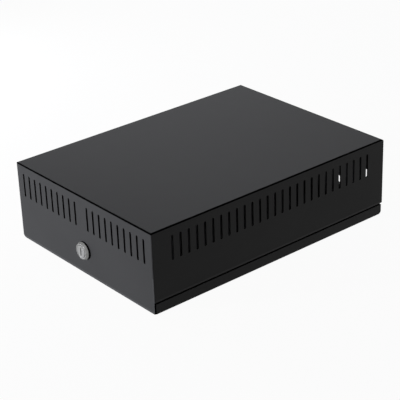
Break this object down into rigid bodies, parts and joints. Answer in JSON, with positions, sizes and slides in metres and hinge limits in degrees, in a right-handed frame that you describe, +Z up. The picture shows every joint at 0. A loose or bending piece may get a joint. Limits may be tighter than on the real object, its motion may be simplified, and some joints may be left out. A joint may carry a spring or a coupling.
{
  "type": "dvr lock box",
  "caption": "Low black steel lock box: folded tray and rear-hinged slotted cover, front cam lock, rear fan and grommeted cable ports.",
  "frame": {"origin": "middle of the footprint, on the surface the box stands on", "axes": "+Y from the locked front to the hinged rear, +X to the right seen from the front, +Z up"},
  "size_m": [0.26, 0.3681, 0.1],
  "materials": {
    "black_coat": "satin black powder coat with a fine texture",
    "nickel": "satin nickel plate",
    "zinc": "bright zinc plate",
    "black_rubber": "matt moulded rubber",
    "black_plastic": "matt moulded plastic"
  },
  "bodies": {
    "base": {"base_tray": "black_coat", "skirt_left": "black_coat", "skirt_right": "black_coat", "hinge_leaf_fixed_left": "zinc", "hinge_pin_left": "zinc", "hinge_rivet_fixed_left_1": "zinc", "hinge_rivet_fixed_left_2": "zinc", "hinge_leaf_fixed_right": "zinc", "hinge_pin_right": "zinc", "hinge_rivet_fixed_right_1": "zinc", "hinge_rivet_fixed_right_2": "zinc", "catch_bracket": "zinc", "catch_stud_1": "zinc", "catch_stud_2": "zinc", "catch_nut_1": "zinc", "catch_nut_2": "zinc", "cable_grommet_large": "black_rubber", "cable_grommet_small": "black_rubber", "fan_frame": "black_plastic", "fan_guard": "zinc", "fan_screw_1": "zinc", "fan_screw_2": "zinc", "fan_screw_3": "zinc", "fan_screw_4": "zinc", "fan_nut_1": "zinc", "fan_nut_2": "zinc", "fan_nut_3": "zinc", "fan_nut_4": "zinc"},
    "cover": {"cover_shell": "black_coat", "hinge_leaf_moving_left": "zinc", "hinge_rivet_moving_left_1": "zinc", "hinge_rivet_moving_left_2": "zinc", "hinge_leaf_moving_right": "zinc", "hinge_rivet_moving_right_1": "zinc", "hinge_rivet_moving_right_2": "zinc", "lock_body": "nickel", "lock_collar": "black_plastic", "lock_washer": "zinc", "lock_nut": "zinc"},
    "lock": {"lock_plug": "nickel", "lock_cam": "zinc", "cam_screw": "zinc"},
    "rotor": {"fan_rotor": "black_plastic"}
  },
  "joints": [
    {"name": "cover_hinge", "type": "hinge", "parent": "base", "child": "cover", "pos_m": [0, 0.18, 0.0855], "axis": [-1, 0, 0], "range_deg": [0, 110]},
    {"name": "lock_turn", "type": "hinge", "parent": "cover", "child": "lock", "pos_m": [0.0019, -0.18, 0.0315], "axis": [0, 1, 0], "range_deg": [0, 90]},
    {"name": "fan_spin", "type": "hinge", "parent": "base", "child": "rotor", "pos_m": [-0.03, 0.18, 0.0435], "axis": [0, 1, 0], "continuous": true}
  ]
}
